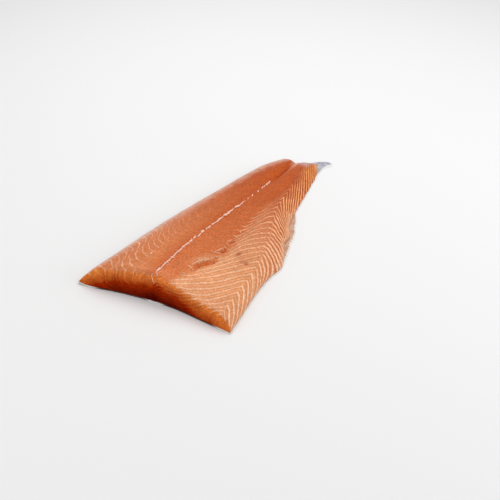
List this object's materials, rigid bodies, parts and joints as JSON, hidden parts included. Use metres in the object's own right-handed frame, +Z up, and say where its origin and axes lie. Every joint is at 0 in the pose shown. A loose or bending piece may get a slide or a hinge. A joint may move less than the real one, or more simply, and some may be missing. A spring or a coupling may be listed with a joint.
{
  "type": "salmon fillet",
  "caption": "Raw tail-half salmon fillet lying skin side down: domed flesh with a straight cut end, a furrow along the middle, torn flakes, and thin skin that shows at the belly and tail.",
  "frame": {"origin": "on the surface the fillet lies on, under the middle of its bounding box", "axes": "+X from the thick cut end to the tail, +Y towards the back of the fish, -Y towards its belly, +Z up"},
  "size_m": [0.3498, 0.1654, 0.0295],
  "materials": {
    "flesh": "moist raw salmon flesh, orange with paler fat lines",
    "skin": "wet silver-grey fish skin, whitish where it is loose at the edge"
  },
  "bodies": {
    "root": {"flesh": "flesh", "skin": "skin"}
  },
  "joints": []
}
